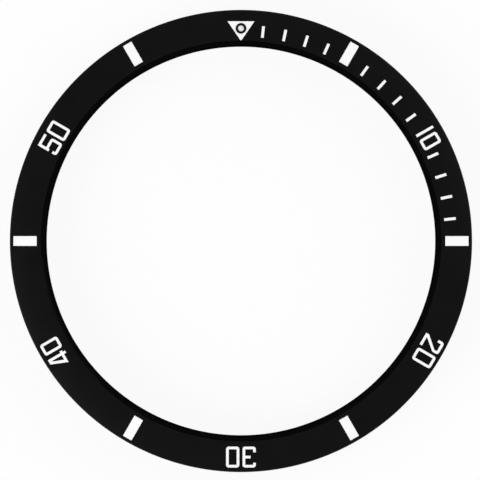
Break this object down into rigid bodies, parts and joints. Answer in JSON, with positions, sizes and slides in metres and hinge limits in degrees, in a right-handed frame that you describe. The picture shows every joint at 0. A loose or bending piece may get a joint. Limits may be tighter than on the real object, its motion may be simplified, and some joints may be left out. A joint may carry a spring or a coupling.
{
  "type": "rotating watch bezel",
  "caption": "Rotating dive-watch bezel unit: press-on collar, click spring, toothed turning ring and a black insert with white minute marks.",
  "frame": {"origin": "on the turning axis, in the plane where the collar sits on the shoulder of the watch case", "axes": "+Z along the turning axis towards the viewer, +Y towards the zero triangle at 12 o'clock, +X towards the 15-minute bar"},
  "size_m": [0.04, 0.04, 0.0041],
  "materials": {
    "collar_steel": "fine turned stainless steel",
    "glide_plastic": "plain low-friction plastic",
    "spring_steel": "rolled spring steel",
    "rivet_steel": "turned steel",
    "wire_steel": "drawn spring wire",
    "ring_steel": "polished edges and brushed flanks",
    "ratchet_steel": "hardened steel",
    "gasket_rubber": "matte black rubber",
    "adhesive": "cured adhesive film",
    "insert_black": "satin black",
    "cup_black": "black coated metal",
    "lume_white": "matte white luminous fill",
    "lens_clear": "clear polished dome"
  },
  "bodies": {
    "collar": {"case_collar": "collar_steel", "glide_ring": "glide_plastic", "click_spring_ring": "spring_steel", "spring_rivets": "rivet_steel", "snap_wire": "wire_steel"},
    "bezel": {"bezel_ring": "ring_steel", "ratchet_ring": "ratchet_steel", "neck_gasket": "gasket_rubber", "insert_adhesive": "adhesive", "insert": "insert_black", "zero_triangle": "lume_white", "pearl_cup": "cup_black", "pearl_lume": "lume_white", "pearl_lens": "lens_clear", "numeral_10": "lume_white", "numeral_20": "lume_white", "numeral_30": "lume_white", "numeral_40": "lume_white", "numeral_50": "lume_white", "bar_05": "lume_white", "bar_15": "lume_white", "bar_25": "lume_white", "bar_35": "lume_white", "bar_45": "lume_white", "bar_55": "lume_white", "tick_01": "lume_white", "tick_02": "lume_white", "tick_03": "lume_white", "tick_04": "lume_white", "tick_06": "lume_white", "tick_07": "lume_white", "tick_08": "lume_white", "tick_09": "lume_white", "tick_11": "lume_white", "tick_12": "lume_white", "tick_13": "lume_white", "tick_14": "lume_white"},
    "tongue_1": {"click_tongue_1": "spring_steel"},
    "tongue_2": {"click_tongue_2": "spring_steel"},
    "tongue_3": {"click_tongue_3": "spring_steel"}
  },
  "joints": [
    {"name": "bezel_turn", "type": "hinge", "parent": "collar", "child": "bezel", "pos_m": [0, 0, 0.00305], "axis": [0, 0, 1], "continuous": true},
    {"name": "tongue_1_flex", "type": "hinge", "parent": "collar", "child": "tongue_1", "pos_m": [0.01816, -0.00351, 0.00053], "axis": [0.9818, -0.1897, 0], "range_deg": [-6, 0], "stiffness_Nm_per_rad": 0.033},
    {"name": "tongue_2_flex", "type": "hinge", "parent": "collar", "child": "tongue_2", "pos_m": [-0.01212, -0.01397, 0.00053], "axis": [-0.6552, -0.7554, 0], "range_deg": [-6, 0], "stiffness_Nm_per_rad": 0.033},
    {"name": "tongue_3_flex", "type": "hinge", "parent": "collar", "child": "tongue_3", "pos_m": [-0.00604, 0.01748, 0.00053], "axis": [-0.3266, 0.9452, 0], "range_deg": [-6, 0], "stiffness_Nm_per_rad": 0.033}
  ]
}
